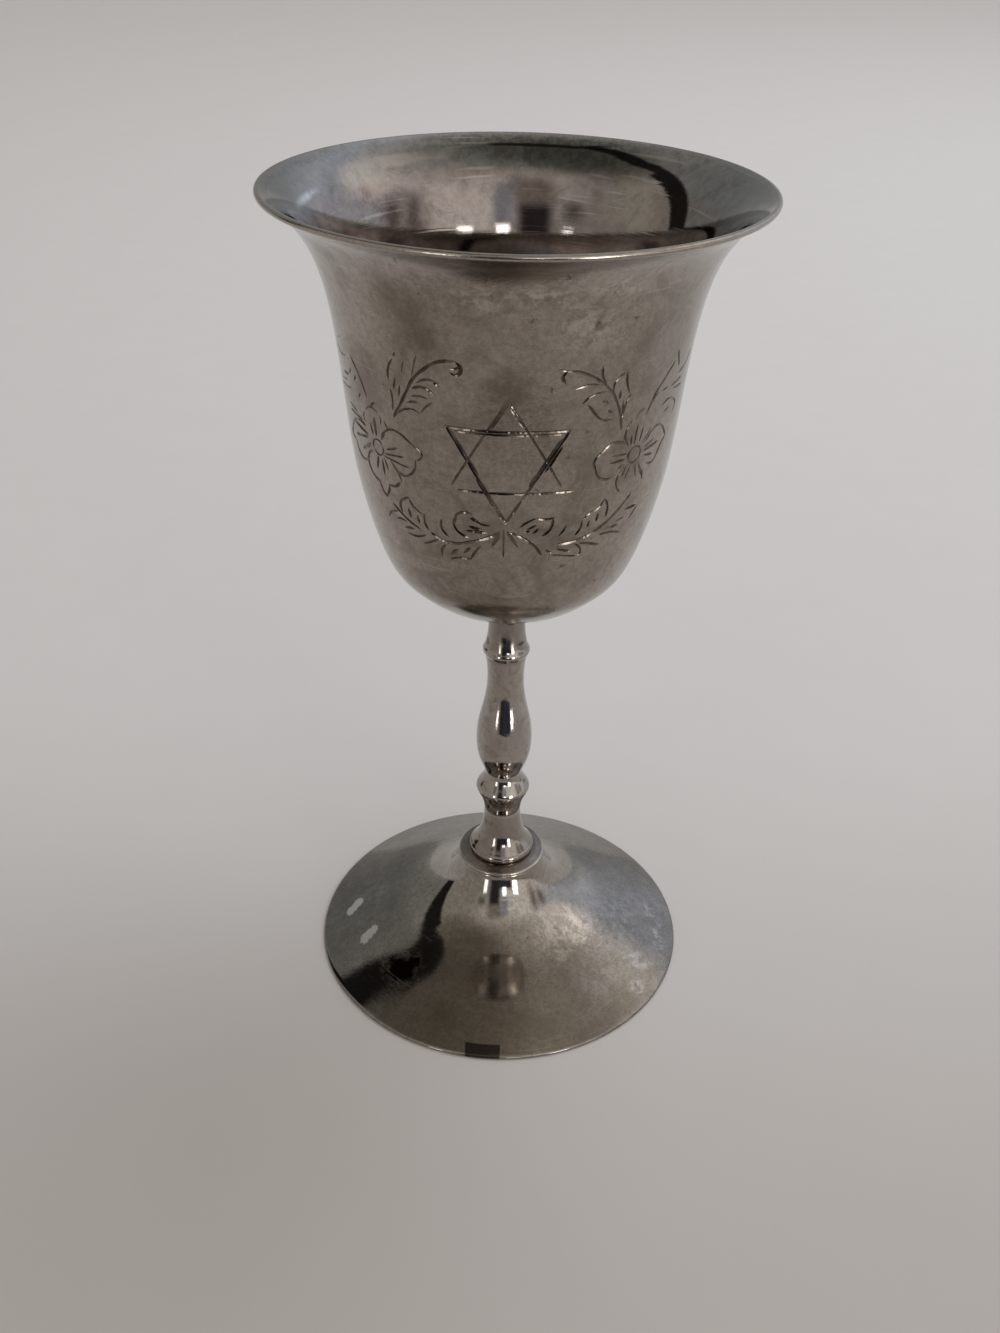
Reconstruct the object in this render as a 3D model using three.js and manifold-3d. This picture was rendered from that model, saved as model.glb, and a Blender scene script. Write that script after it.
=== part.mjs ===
// A silver-plated kiddush cup. A raised, thin-walled bowl with a flared lip carries an engraved
// six-pointed star between two flowers. It is soldered on a cast baluster stem, and the stem
// stands on a small dished collar, which closes the top of a spun, hollow trumpet foot.
//
// Millimetres, +Z up along the cup's axis. The origin is the centre of the foot's underside,
// and the star faces -Y.

import * as THREE from 'three';
import { mergeVertices } from 'three/addons/utils/BufferGeometryUtils.js';
import Module from 'manifold-3d';

const wasm = await Module();
wasm.setup();

// ---- driving dimensions ----

const CUP_HEIGHT = 135;
const LIP_RADIUS = 35.26;
const FOOT_RADIUS = 32.85;
const FOOT_TOP = 18.3;
const NECK_RADIUS = 7.3;         // where the foot meets the collar
const COLLAR_RADIUS = 7.69;
const COLLAR_THICKNESS = 0.9;
const BOWL_BOTTOM = 71;          // lowest point of the bowl's outside
const BOWL_WALL = 0.9;
const FOOT_WALL = 1.0;
const SOLDER_GAP = 0.3;          // left between neighbouring pieces

const ROUND_SIDES = 44;          // facets round the bowl and the foot
const COLLAR_SIDES = 36;
const STEM_SIDES = 20;

// ---- the engraving's sizes ----

const GROOVE_WIDTH = 0.6;
const GROOVE_DEPTH = 0.32;
const GROOVE_RISE = 0.2;         // how far the cutter stands out of the metal
const GROOVE_TAPER = 0.9;        // length over which a stroke runs out to a point
const FRONT_RADIUS = 24;         // the front is unrolled at this radius
const STAR_HEIGHT = 104.9;
const STAR_RADIUS = 9.1;
const STAR_OVERSHOOT = 0.3;      // strokes run past the star's corners
const FLOWER_ASIDE = 19.3;       // from the star's centre line, round the bowl
const FLOWER_HEIGHT = 103.5;
const FLOWER_EYE = 1.15;

const DEGREE = Math.PI / 180;

const at = (x, y) => new THREE.Vector2(x, y);

// ---- shared shapes ----

// The same outline moved to the left of the way it runs.
function moved(outline, distance) {
  return outline.map((point, i) => {
    const ahead = outline[Math.min(i + 1, outline.length - 1)];
    const behind = outline[Math.max(i - 1, 0)];
    const along = ahead.clone().sub(behind).normalize();
    return at(point.x - along.y * distance, point.y + along.x * distance);
  });
}

// A half circle from one point to another, turning left, without its two ends.
function halfRound(from, to, steps) {
  const middle = from.clone().add(to).multiplyScalar(0.5);
  const points = [];
  for (let i = 1; i < steps; i += 1) {
    points.push(from.clone().rotateAround(middle, (Math.PI * i) / steps));
  }
  return points;
}

// An outline of [radius, height] points turned round the cup's axis. Its seam faces -Y.
function turned(outline, sides) {
  const lathe = new THREE.LatheGeometry(outline, sides).rotateX(Math.PI / 2);
  lathe.deleteAttribute('normal');
  lathe.deleteAttribute('uv');
  const whole = mergeVertices(lathe);
  const corners = Array.from(whole.index.array);
  const kept = [];
  for (let i = 0; i < corners.length; i += 3) {
    const [a, b, c] = corners.slice(i, i + 3);
    if (a !== b && b !== c && c !== a) {
      kept.push(a, b, c);
    }
  }
  whole.setIndex(kept);
  return whole;
}

function toSolid(geometry) {
  return new wasm.Manifold(new wasm.Mesh({
    numProp: 3,
    vertProperties: new Float32Array(geometry.attributes.position.array),
    triVerts: new Uint32Array(geometry.index.array),
  }));
}

function toGeometry(solid) {
  const mesh = solid.getMesh();
  const geometry = new THREE.BufferGeometry();
  geometry.setAttribute('position', new THREE.BufferAttribute(mesh.vertProperties, 3));
  geometry.setIndex(new THREE.BufferAttribute(mesh.triVerts, 1));
  return geometry;
}

// ---- bowl ----

// Outside of the bowl, from the middle of its bottom to just under the lip.
const BOWL_OUTLINE = new THREE.SplineCurve([
  at(0, BOWL_BOTTOM), at(5, 71.2), at(10, 72.3), at(13.4, 74), at(15.9, 76.05),
  at(17.75, 78), at(19.4, 81), at(20.8, 85), at(22.1, 89.8), at(23.3, 95.5),
  at(24.2, 102.5), at(25, 110.3), at(25.9, 117.6), at(27.5, 124.6), at(29.1, 128.4),
  at(31.1, 131.3), at(33.2, 133.15), at(LIP_RADIUS - 0.2, CUP_HEIGHT - 0.78),
]);

function bowlBlank() {
  const outside = BOWL_OUTLINE.getPoints(17);
  const inside = moved(BOWL_OUTLINE.getPoints(12), BOWL_WALL).reverse();
  outside[0].x = 0;
  inside.at(-1).x = 0;
  const lip = halfRound(outside.at(-1), inside[0], 3);
  return turned([...outside, ...lip, ...inside], ROUND_SIDES);
}

// ---- engraving ----

// The place and the outward direction on the bowl's outside, a way round the front from the
// star's centre line and at a height.
function onBowl(round, height) {
  const dense = onBowl.dense ??= BOWL_OUTLINE.getPoints(240);
  const i = dense.findIndex((point) => point.y > height);
  const below = dense[i - 1];
  const above = dense[i];
  const share = (height - below.y) / (above.y - below.y);
  const radius = THREE.MathUtils.lerp(below.x, above.x, share);
  const lean = (above.x - below.x) / (above.y - below.y);
  const turn = round / FRONT_RADIUS;
  const place = new THREE.Vector3(radius * Math.sin(turn), -radius * Math.cos(turn), height);
  const outward = new THREE.Vector3(Math.sin(turn), -Math.cos(turn), -lean).normalize();
  return { place, outward };
}

// The cutter for one stroke: a V that follows the bowl along a run of [round, height] places,
// and comes out of the metal in a point at both ends.
function groove(run) {
  const lengths = run.map((spot, i) => (i === 0 ? 0 : spot.distanceTo(run[i - 1])));
  const total = lengths.reduce((sum, length) => sum + length, 0);
  const taper = Math.min(GROOVE_TAPER, total / 3);
  const path = [run[0]];
  path.push(run[0].clone().lerp(run[1], taper / lengths[1]));
  path.push(...run.slice(1, -1));
  path.push(run.at(-1).clone().lerp(run.at(-2), taper / lengths.at(-1)));
  path.push(run.at(-1));

  const spots = path.map((spot) => onBowl(spot.x, spot.y));
  const last = spots.length - 1;
  const halfTop = (GROOVE_WIDTH / 2) * (1 + GROOVE_RISE / GROOVE_DEPTH);
  const corners = [];
  for (let i = 1; i < last; i += 1) {
    const { place, outward } = spots[i];
    const along = spots[i + 1].place.clone().sub(spots[i - 1].place);
    const aside = along.cross(outward).setLength(halfTop);
    const top = place.clone().addScaledVector(outward, GROOVE_RISE);
    corners.push(place.clone().addScaledVector(outward, -GROOVE_DEPTH));
    corners.push(top.clone().add(aside));
    corners.push(top.clone().sub(aside));
  }
  const tips = [spots[0], spots[last]];
  corners.push(...tips.map(({ place, outward }) => place.clone().addScaledVector(outward, GROOVE_RISE)));

  const rings = last - 1;
  const firstTip = rings * 3;
  const lastTip = firstTip + 1;
  const faces = [];
  for (let side = 0; side < 3; side += 1) {
    const next = (side + 1) % 3;
    const end = (rings - 1) * 3;
    faces.push(firstTip, side, next);
    faces.push(lastTip, end + next, end + side);
    for (let ring = 0; ring < end; ring += 3) {
      faces.push(ring + side, ring + 3 + next, ring + next);
      faces.push(ring + side, ring + 3 + side, ring + 3 + next);
    }
  }
  const geometry = new THREE.BufferGeometry().setFromPoints(corners);
  geometry.setIndex(faces);
  return toSolid(geometry);
}

// A straight stroke, in steps short enough to follow the bowl's curve.
function straight(from, to, steps) {
  const run = [];
  for (let i = 0; i <= steps; i += 1) {
    run.push(from.clone().lerp(to, i / steps));
  }
  return groove(run);
}

// A curved stroke through some places.
function curved(places, steps) {
  return groove(new THREE.SplineCurve(places).getPoints(steps));
}

// Two triangles, one on its base and one on its point.
function star() {
  const strokes = [];
  for (let corner = 0; corner < 6; corner += 1) {
    const ends = [corner, corner + 2].map((k) => {
      const turn = (90 + 60 * k) * DEGREE;
      return at(STAR_RADIUS * Math.cos(turn), STAR_HEIGHT + STAR_RADIUS * Math.sin(turn));
    });
    const past = ends[1].clone().sub(ends[0]).setLength(STAR_OVERSHOOT);
    strokes.push(straight(ends[0].sub(past), ends[1].add(past), 4));
  }
  return strokes;
}

// Places given as [along, aside] shares of a length, set at a base and turned.
function placed(shares, base, turn, length) {
  return shares.map(([along, aside]) => (
    at(along * length, aside * length).rotateAround(at(0, 0), turn * DEGREE).add(base)
  ));
}

// A leaf drawn by its two edges, with its tip at the far end.
function leaf(base, turn, length, width) {
  const half = width / length / 2;
  return [-1, 1].map((side) => {
    const edge = [[0, 0], [0.35, side * half], [0.75, side * half * 0.8], [1, 0]];
    return curved(placed(edge, base, turn, length), 3);
  });
}

// A petal with two scallops on each edge, pointed at its tip.
function petal(eye, turn, length) {
  return [-1, 1].flatMap((side) => {
    const inner = [[0.2, side * 0.12], [0.38, side * 0.38], [0.64, side * 0.38]];
    const outer = [[0.64, side * 0.38], [0.86, side * 0.28], [1, 0]];
    return [inner, outer].map((edge) => curved(placed(edge, eye, turn, length), 2));
  });
}

function flower(eye, lengths) {
  const strokes = [];
  for (const from of [0, 180]) {
    const rim = [0, 60, 120, 190].map((turn) => [Math.cos((from + turn) * DEGREE), Math.sin((from + turn) * DEGREE)]);
    strokes.push(curved(placed(rim, eye, 0, FLOWER_EYE), 3));
  }
  lengths.forEach((length, i) => strokes.push(...petal(eye, 4 + 90 * i, length)));
  return strokes;
}

// The flower and the leafy stems on one side of the star: side is -1 or 1.
function spray(side) {
  const on = (aside, height) => at(side * aside, height);
  const turn = (degrees) => (side > 0 ? degrees : 180 - degrees);
  return [
    ...flower(on(FLOWER_ASIDE, FLOWER_HEIGHT), [7.6, 6.9, 7.8, 6.8]),
    // upper stem, curling in over the star
    curved([on(15.7, 108.7), on(13.6, 113.7), on(10.7, 116.8), on(6.4, 118.5)], 5),
    ...leaf(on(14.6, 111), turn(150), 6.4, 3.6),
    ...leaf(on(15.5, 110.4), turn(82), 7, 2.6),
    // outer stem, going up round the side
    curved([on(20.4, 110.9), on(22.6, 113.9), on(25, 116)], 3),
    // lower stem, curling out from under the star
    curved([on(0.9, 94.4), on(4.2, 92.5), on(8, 91.5), on(12, 92.2), on(16, 94.1), on(19.2, 96.8)], 6),
    ...leaf(on(2.6, 95.1), turn(4), 4.7, 2.8),
    ...leaf(on(12.4, 93.4), turn(62), 4.8, 3.2),
    ...leaf(on(4.9, 91.6), turn(-24), 6.4, 2.4),
  ];
}

// Short strokes that fan down from the place where the lower stems meet.
function tie() {
  return [-38, -14, 14, 38].map((turn) => (
    straight(...placed([[0, 0], [1, 0]], at(turn / 45, 94.2), turn - 90, 3.4), 1)
  ));
}

function bowlGeometry() {
  const strokes = [...star(), ...spray(-1), ...spray(1), ...tie()];
  const cutter = strokes.reduce((all, stroke) => all.add(stroke));
  return toGeometry(toSolid(bowlBlank()).subtract(cutter));
}

// ---- stem ----

function stemGeometry() {
  const top = BOWL_BOTTOM - SOLDER_GAP;
  const foot = FOOT_TOP + COLLAR_THICKNESS + 2 * SOLDER_GAP;
  const outline = new THREE.Path();
  outline.moveTo(0, foot);
  outline.lineTo(5.45, foot);
  // bead
  outline.splineThru([at(5.72, foot + 0.45), at(5.25, foot + 0.95)]);
  // bell-shaped base, waist
  outline.splineThru([at(4.5, 22.2), at(3.8, 23.8), at(3.34, 26), at(3.2, 28.3), at(3.4, 30)]);
  // knop
  outline.splineThru([at(3.95, 31.5), at(4.6, 33.2), at(4.1, 34.5), at(3.2, 36.2)]);
  // baluster, and the neck above it
  outline.splineThru([
    at(3.45, 37.7), at(4.1, 39.2), at(4.6, 41.4), at(4.74, 43.7), at(4.45, 47),
    at(3.85, 50), at(3.25, 53.2), at(3.03, 56), at(3.2, 58.9), at(3.5, 60.5),
  ]);
  // small ring
  outline.splineThru([at(3.88, 61.5), at(3.45, 62.7)]);
  // upper neck, spreading under the bowl
  outline.splineThru([at(3.05, 64.8), at(3, 67.6), at(4.6, top)]);
  outline.lineTo(0, top);
  return turned(outline.getPoints(1), STEM_SIDES);
}

// ---- collar ----

function collarGeometry() {
  const low = FOOT_TOP + SOLDER_GAP;
  const high = low + COLLAR_THICKNESS;
  const middle = (low + high) / 2;
  return turned([
    at(0, low), at(COLLAR_RADIUS - 0.3, low), at(COLLAR_RADIUS, middle), at(COLLAR_RADIUS - 0.3, high),
    at(0, high),
  ], COLLAR_SIDES);
}

// ---- foot ----

// Outside of the foot: a shallow, slightly rounded skirt that sweeps up into a steep neck.
function footOutline(steps) {
  const skirtTop = at(20, 6.48);
  const skirt = new THREE.QuadraticBezierCurve(at(FOOT_RADIUS, 0.55), at(26.3, 3.72), skirtTop);
  const sweep = new THREE.CubicBezierCurve(
    skirtTop, at(13.4, 9.3), at(8.2, 13.2), at(NECK_RADIUS, FOOT_TOP - 0.4),
  );
  return [...skirt.getPoints(Math.ceil(steps / 3)), ...sweep.getPoints(steps).slice(1)];
}

function footGeometry() {
  const outside = footOutline(8);
  const inside = moved(footOutline(5), FOOT_WALL).filter((point) => point.y > 0.3);
  inside.at(-1).y = FOOT_TOP - FOOT_WALL;
  const ringWidth = 1.2;
  return turned([
    at(FOOT_RADIUS - ringWidth, 0), at(FOOT_RADIUS, 0), ...outside,
    at(NECK_RADIUS - 0.4, FOOT_TOP), at(0, FOOT_TOP),
    at(0, FOOT_TOP - FOOT_WALL), ...inside.reverse(), at(FOOT_RADIUS - ringWidth, 0),
  ], ROUND_SIDES);
}

// ---- assembly ----

const cup = new THREE.Group();

function addPiece(name, geometry, color, roughness) {
  const material = new THREE.MeshStandardMaterial({ color, roughness, metalness: 1 });
  const mesh = new THREE.Mesh(geometry, material);
  mesh.name = name;
  cup.add(mesh);
}

addPiece('bowl', bowlGeometry(), 0x8f857c, 0.35);
addPiece('stem', stemGeometry(), 0x8d867e, 0.2);
addPiece('collar', collarGeometry(), 0x8a837b, 0.3);
addPiece('foot', footGeometry(), 0x8b8680, 0.35);

export default cup;
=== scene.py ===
"""Looks of a tarnished, silver-plated kiddush cup: a flared bowl with a hand-engraved six-pointed
star between two flowers, a cast baluster stem, a thin dished collar and a spun trumpet foot.

Sizes are in millimetres until a mesh is made. Heights are measured from the surface that the cup
stands on, +Z is up along the cup's axis and the star faces -Y.
"""
import math

import bpy
import numpy as np
from mathutils import Euler, Matrix, Vector
from mathutils.geometry import delaunay_2d_cdt


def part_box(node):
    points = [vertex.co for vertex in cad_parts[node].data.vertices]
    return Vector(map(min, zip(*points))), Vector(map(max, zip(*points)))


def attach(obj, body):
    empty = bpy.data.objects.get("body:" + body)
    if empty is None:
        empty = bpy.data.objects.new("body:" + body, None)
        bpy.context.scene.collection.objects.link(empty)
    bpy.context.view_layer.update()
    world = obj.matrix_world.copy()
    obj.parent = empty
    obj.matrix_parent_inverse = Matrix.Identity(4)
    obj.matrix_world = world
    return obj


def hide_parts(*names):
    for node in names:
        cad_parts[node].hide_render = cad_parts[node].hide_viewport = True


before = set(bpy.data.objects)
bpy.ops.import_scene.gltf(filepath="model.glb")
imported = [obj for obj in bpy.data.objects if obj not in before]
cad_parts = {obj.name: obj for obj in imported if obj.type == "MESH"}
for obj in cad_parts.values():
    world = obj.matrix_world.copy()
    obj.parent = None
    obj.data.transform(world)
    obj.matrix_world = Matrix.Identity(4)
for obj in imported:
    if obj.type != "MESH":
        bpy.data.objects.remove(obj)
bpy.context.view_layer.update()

MM = 0.001
hand = np.random.default_rng(5)  # the unsteadiness of the engraver's hand

# ---- sizes read from the frame ----


def lowest(node):
    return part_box(node)[0].z / MM


def highest(node):
    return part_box(node)[1].z / MM


def reach(node):
    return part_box(node)[1].x / MM


BOWL_BOTTOM = lowest("bowl")
LIP_TOP = highest("bowl")
COLLAR_TOP = highest("collar")  # the stem is soldered on it
COLLAR_RADIUS = reach("collar")
FOOT_TOP = highest("foot")  # the collar is soldered on it
FOOT_RADIUS = reach("foot")

# ---- sizes of the pieces ----

BOWL_WALL = 0.9
FOOT_WALL = 1.0
BOWL_SIDES = 192
STEM_SIDES = 128
FOOT_SIDES = 192
FRONT_RADIUS = 24.0  # the engraved front is unrolled at this radius


# ---- outlines ----


def smooth_run(points, spacing, start=None):
    """Evenly spaced places along a smooth curve through [across, up] points.

    start is the direction in which the curve leaves its first point, where that matters."""
    points = np.array(points, float)
    if len(points) == 2:
        count = max(2, int(np.ceil(np.linalg.norm(points[1] - points[0]) / spacing)) + 1)
        return points[0] + (points[1] - points[0]) * np.linspace(0, 1, count)[:, None]
    gaps = np.linalg.norm(np.diff(points, axis=0), axis=1)
    count = len(points)
    matrix = np.zeros((count, count))
    right = np.zeros((count, 2))
    matrix[0, :2] = 2, 1
    right[0] = 3 * (points[1] - points[0]) / gaps[0]
    matrix[-1, -2:] = 1, 2
    right[-1] = 3 * (points[-1] - points[-2]) / gaps[-1]
    if start is not None:
        matrix[0, :2] = 1, 0
        right[0] = start
    for i in range(1, count - 1):
        before, after = gaps[i - 1], gaps[i]
        matrix[i, i - 1:i + 2] = after, 2 * (before + after), before
        into, out_of = (points[i] - points[i - 1]) / before, (points[i + 1] - points[i]) / after
        right[i] = 3 * (after * into + before * out_of)
    slopes = np.linalg.solve(matrix, right)
    run = []
    for i, gap in enumerate(gaps):
        t = np.linspace(0, 1, max(3, int(np.ceil(gap / spacing * 4))), endpoint=False)[:, None]
        run.append(
            (2 * t**3 - 3 * t**2 + 1) * points[i] + (t**3 - 2 * t**2 + t) * gap * slopes[i]
            + (3 * t**2 - 2 * t**3) * points[i + 1] + (t**3 - t**2) * gap * slopes[i + 1]
        )
    run = np.vstack(run + [points[-1:]])
    return evenly(run, spacing)


def evenly(run, spacing):
    """The same run with places at even distances."""
    length = np.concatenate([[0], np.cumsum(np.linalg.norm(np.diff(run, axis=0), axis=1))])
    count = max(2, int(round(length[-1] / spacing)) + 1)
    even = np.linspace(0, length[-1], count)
    return np.column_stack([np.interp(even, length, run[:, 0]), np.interp(even, length, run[:, 1])])


def outward(outline):
    """The direction away from the metal at each place of an outline that runs up the outside."""
    along = np.gradient(outline, axis=0)
    along /= np.linalg.norm(along, axis=1)[:, None]
    return np.column_stack([along[:, 1], -along[:, 0]])


def half_round(start, end, count):
    """The inner places of a half circle from start to end, turning left."""
    middle = (start + end) / 2
    arm = start - middle
    turns = np.linspace(0, math.pi, count + 2)[1:-1]
    return np.array([
        middle + [arm[0] * math.cos(t) - arm[1] * math.sin(t), arm[0] * math.sin(t) + arm[1] * math.cos(t)]
        for t in turns
    ])


# ---- turned meshes ----


def turned(outline, sides):
    """Vertices and faces of an outline turned round the cup's axis, closed where it meets the axis.

    Column 0 faces -Y and the columns run towards +X."""
    turns = np.arange(sides) * 2 * math.pi / sides
    ring = np.column_stack([np.sin(turns), -np.cos(turns), np.zeros(sides)])
    vertices = (outline[:, 0, None, None] * ring + [[0, 0, 1]] * outline[:, 1, None, None]).reshape(-1, 3)
    rows = len(outline)
    low = np.arange(rows - 1)[:, None] * sides
    here = np.arange(sides)
    there = (here + 1) % sides
    faces = np.stack([low + here, low + there, low + there + sides, low + here + sides], axis=-1)
    return vertices, faces


def mesh_piece(name, vertices, faces, materials, face_slots=None):
    """A smooth-shaded mesh object from places in millimetres."""
    mesh = bpy.data.meshes.new(name)
    mesh.from_pydata((np.asarray(vertices) * MM).tolist(), [], faces)
    for material in materials:
        mesh.materials.append(material)
    if face_slots is not None:
        mesh.polygons.foreach_set("material_index", face_slots)
    mesh.shade_smooth()
    piece = bpy.data.objects.new(name, mesh)
    bpy.context.scene.collection.objects.link(piece)
    return piece


def merged(vertices, faces):
    """Joins doubled places, such as those on the axis, and leaves out the unused ones.

    Returns which places stay, the faces that still have an area, and which of the old faces
    those are."""
    keys = np.round(np.asarray(vertices) * 1e5).astype(np.int64)
    _, first, same = np.unique(keys, axis=0, return_index=True, return_inverse=True)
    same = same.reshape(-1)
    joined = [list(dict.fromkeys(same[list(face)].tolist())) for face in faces]
    whole = [i for i, corners in enumerate(joined) if len(corners) > 2]
    used = np.unique(np.concatenate([joined[i] for i in whole]))
    number = np.zeros(len(first), int)
    number[used] = np.arange(len(used))
    return first[used], [number[joined[i]].tolist() for i in whole], whole


def turned_piece(name, outline, sides, materials, row_slots=None):
    """A turned piece. row_slots gives the material's place for each row of the outline."""
    vertices, faces = turned(outline, sides)
    slots = np.repeat(row_slots if row_slots is not None else np.zeros(len(faces), int), sides)
    stay, faces, whole = merged(vertices, faces.reshape(-1, 4))
    return mesh_piece(name, vertices[stay], faces, materials, slots[whole].tolist())


# ---- engraving ----
# A stroke is its width, then the places that it runs through as (across, up), in millimetres.

STAR_HEIGHT = 104.9
STAR_RADIUS = 9.1
CUT_DEPTH = 0.22  # as a share of a stroke's width
CUT_SPREAD = 1.15  # wider than drawn, where the metal was pushed aside
CUT_STEP = 0.3
CUT_SHALLOWEST = 0.004  # nothing shallower is cut
POINTED_END = 0.9  # length over which a stroke narrows to a point
POINTED_SHARE = 0.45  # but no more than this share of the stroke
HAND_WAVER = 0.012  # how far the graver strays aside
HAND_PRESSURE = 0.12  # how much its width and depth come and go, as a share
HAND_WAVES = 2.1  # and how quickly, in radians for each millimetre
SHEET_GRID = 1.0  # spacing of the plain places between the strokes


def star():
    """Two triangles, some of their sides cut a second time alongside."""
    corner = [
        (STAR_RADIUS * math.cos(turn), STAR_HEIGHT + STAR_RADIUS * math.sin(turn))
        for turn in [math.radians(90 + 60 * k) for k in range(6)]
    ]
    top, upper_left, lower_left, bottom, lower_right, upper_right = corner

    def side(width, start, end, first, last, aside=0.0):
        """A stroke between shares of the way from one corner to another, moved aside."""
        start, end = np.array(start), np.array(end)
        along = (end - start) / np.linalg.norm(end - start)
        move = np.array([-along[1], along[0]]) * aside
        shares = (first, (first + last) / 2, last)
        return width, *[start + (end - start) * share + move for share in shares]

    return [
        side(0.34, top, lower_left, -0.01, 0.97),
        side(0.34, top, lower_left, 0.02, 0.3, 0.3),
        side(0.34, top, lower_right, 0.02, 0.95),
        side(0.36, top, lower_right, 0.04, 0.27, -0.26),
        side(0.4, lower_left, lower_right, 0.07, 1.1),
        side(0.4, upper_left, upper_right, -0.03, 1.03, 0.06),
        side(0.36, upper_left, upper_right, 0.06, 0.97, -0.38),
        side(0.42, upper_left, bottom, -0.03, 1.02),
        side(0.55, upper_left, bottom, 0.02, 0.5, 0.22),
        side(0.34, upper_left, bottom, 0.5, 0.97, -0.28),
        side(0.42, upper_right, bottom, -0.01, 1.03),
        side(0.5, upper_right, bottom, 0.08, 0.6, -0.26),
        side(0.5, upper_right, bottom, 0.14, 0.42, 0.42),
    ]


def ring(radius, width):
    """A small round eye, cut in two strokes."""
    def arc(first, last):
        turns = np.radians(np.linspace(first, last, 6))
        return [(radius * math.cos(t), radius * math.sin(t)) for t in turns]
    return [(width, *arc(20, 215)), (width, *arc(200, 395))]


# Short strokes that fan down from the place where the lower stems meet.
BURST = [
    (0.5, (-0.9, 4.4), (-2.0, 1.5)), (0.4, (-0.8, 4.3), (-1.4, 2.2)), (0.3, (-0.3, 4.8), (-0.3, -0.3)),
    (0.4, (0.1, 4.5), (1.5, 1.8)), (0.35, (0.3, 4.4), (1.9, 1.5)),
]

LEFT_FLOWER = [
    # right petal
    (0.34, (1.7, 2.6), (2.9, 3.6), (4.2, 3.7), (6.0, 2.9), (7.4, 2.0)),
    (0.38, (7.2, 2.3), (8.3, 1.3), (7.3, 0.1)),
    (0.38, (7.1, 0.4), (7.0, -0.9), (6.1, -2.2), (4.6, -2.8), (3.4, -2.3)),
    # bottom petal
    (0.48, (-1.2, -0.9), (-2.9, -2.2), (-3.1, -3.8), (-1.9, -5.2), (-0.3, -5.5)),
    (0.46, (-0.9, -5.3), (-0.5, -6.4), (0.4, -7.4), (1.3, -6.2), (1.6, -5.1)),
    (0.46, (1.2, -5.3), (2.8, -5.1), (4.1, -4.0)), (0.44, (4.3, -4.1), (3.8, -2.8), (2.5, -1.3)),
    # left petal
    (0.44, (-2.4, 2.2), (-4.8, 2.5), (-6.8, 1.4), (-8.3, -0.2)),
    (0.55, (-7.4, 0.6), (-8.5, -1.1), (-6.8, -1.4)),
    (0.5, (-7.0, -1.2), (-6.6, -2.7), (-4.6, -3.5), (-3.0, -2.8)),
    # top petal
    (0.34, (-2.5, 2.7), (-2.9, 3.6), (-2.4, 4.5)), (0.28, (-2.2, 4.7), (-0.9, 5.7), (0.9, 5.3)),
    (0.5, (-0.9, 5.6), (0.6, 6.9)), (0.28, (1.1, 5.2), (1.3, 4.3), (1.0, 3.5)),
    (0.34, (2.0, 4.6), (2.6, 3.4)),
    # veins
    (0.4, (1.7, 0.2), (4.2, 1.2)), (0.34, (1.3, -0.5), (5.2, 0.1)), (0.3, (0.9, -0.9), (6.0, -1.3)),
    (0.28, (2.3, -1.0), (3.4, -2.4)), (0.5, (-0.2, -1.3), (-0.9, -3.7)), (0.42, (0.6, -1.4), (0.8, -4.3)),
    (0.4, (1.1, -1.2), (1.8, -3.0)), (0.55, (-1.3, 0.1), (-4.6, -1.9)), (0.5, (-2.1, 0.8), (-6.5, -0.3)),
    (0.5, (-2.0, 1.1), (-6.3, 1.7)), (0.6, (-0.1, 1.5), (-0.2, 4.5)), (0.5, (-0.8, 1.5), (-1.4, 3.3)),
    (0.6, (0.9, 1.3), (1.9, 3.1)), (0.4, (-7.6, 4.1), (-4.6, 3.6)), (0.4, (-7.6, 3.1), (-3.2, 2.9)),
]

RIGHT_FLOWER = [
    # left petal
    (0.42, (-1.9, 2.1), (-3.1, 2.6), (-4.2, 2.8), (-5.3, 2.2), (-6.1, 1.4)),
    (0.42, (-5.6, 1.9), (-6.9, 0.3), (-6.4, -0.8)),
    (0.42, (-6.6, -0.4), (-6.1, -1.8), (-4.8, -2.6), (-3.0, -2.4)),
    # top petal
    (0.4, (-1.3, 1.6), (-2.2, 2.8), (-2.1, 4.4), (-1.4, 5.5)), (0.4, (-0.9, 5.4), (-0.2, 6.2), (0.7, 6.8)),
    (0.34, (1.0, 5.4), (1.6, 6.6), (3.2, 8.4)),
    # right petal
    (0.38, (1.8, 1.2), (3.1, 2.6), (4.4, 3.1), (5.9, 2.3), (7.5, 0.4)), (0.38, (6.4, -0.2), (7.6, 0.5)),
    (0.4, (7.1, 0.0), (6.2, -0.7), (5.7, -1.6), (4.6, -2.6), (2.9, -2.1)),
    # bottom petal
    (0.34, (-1.4, -1.5), (-2.5, -2.6), (-2.6, -4.2), (-1.6, -5.4)),
    (0.34, (1.4, -2.3), (2.3, -3.3), (2.8, -4.9)),
    # veins
    (0.4, (-1.5, 0.5), (-4.1, 0.7)), (0.4, (-1.6, -0.3), (-4.4, -0.3)), (0.36, (-1.6, -1.0), (-2.9, -1.5)),
    (0.36, (-1.0, 1.5), (-1.1, 3.3)), (0.34, (-0.4, 1.5), (-0.2, 4.6)), (0.34, (0.6, 1.6), (1.0, 3.9)),
    (0.34, (1.2, 1.2), (2.9, 3.2)), (0.42, (1.8, 0.5), (4.1, 1.2)), (0.45, (1.8, 0.0), (5.4, 0.4)),
    (0.5, (2.0, -0.7), (4.3, -1.2)), (0.34, (-1.2, -1.3), (-2.0, -3.4)), (0.3, (-0.5, -1.6), (-1.3, -3.9)),
    (0.3, (0.5, -1.6), (1.0, -3.7)), (0.3, (1.2, -1.6), (2.3, -4.0)),
]

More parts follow.
